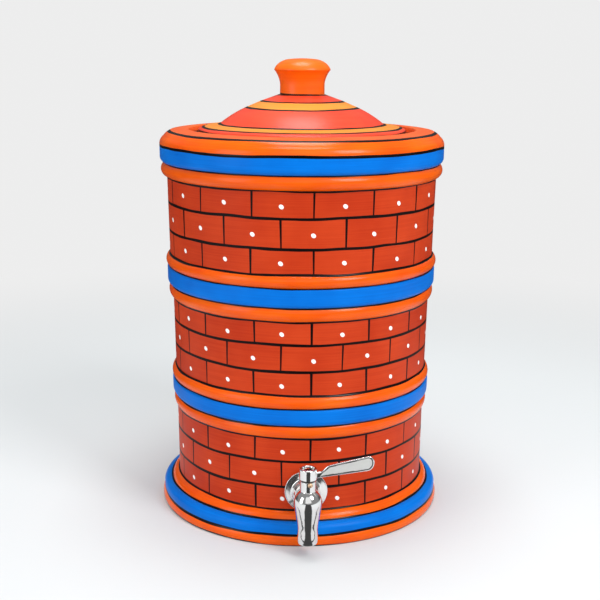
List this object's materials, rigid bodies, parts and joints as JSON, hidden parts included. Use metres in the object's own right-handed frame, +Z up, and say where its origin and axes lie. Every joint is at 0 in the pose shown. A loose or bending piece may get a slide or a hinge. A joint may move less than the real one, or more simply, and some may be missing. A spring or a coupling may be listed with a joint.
{
  "type": "water jar with tap",
  "caption": "Tall near-cylindrical clay water jar with turned bands, a stepped lid with a round knob, and a metal lever tap low on the front.",
  "frame": {"origin": "centre of the foot's underside, on the ground", "axes": "+Z up along the jar's axis, -Y out of the front, towards the tap, +X to the right seen from the front, where the shut lever points"},
  "size_m": [0.2556, 0.2844, 0.3989],
  "materials": {
    "painted_clay": "hand-painted fired clay, satin",
    "lid_clay": "hand-painted fired clay, satin",
    "knob_clay": "hand-painted fired clay, satin gloss",
    "tap_metal": "polished, slightly uneven casting",
    "disc_metal": "polished pressing",
    "lever_metal": "polished, satin in the panel",
    "plain_steel": "plain turned steel",
    "pin_brass": "turned brass",
    "soft_seal": "white silicone",
    "ring_rubber": "black rubber"
  },
  "bodies": {
    "jar": {"jar_body": "painted_clay", "tap_body": "tap_metal", "escutcheon": "disc_metal", "outer_washer": "soft_seal", "inner_washer": "soft_seal", "backing_washer": "plain_steel", "lock_nut": "plain_steel", "port_seal": "soft_seal", "stop_pin": "pin_brass"},
    "lever_set": {"spindle": "plain_steel", "stem_o_rings": "ring_rubber", "lever": "lever_metal", "spring_washer": "plain_steel", "hub_screw": "plain_steel"},
    "lid_set": {"lid": "lid_clay", "lid_knob": "knob_clay"}
  },
  "joints": [
    {"name": "lever_turn", "type": "hinge", "parent": "jar", "child": "lever_set", "pos_m": [0, -0.14503, 0.065], "axis": [0, 0, 1], "range_deg": [-90, 0]},
    {"name": "lid_lift", "type": "slide", "parent": "jar", "child": "lid_set", "axis": [0, 0, 1], "range_m": [0, 0.15]}
  ]
}
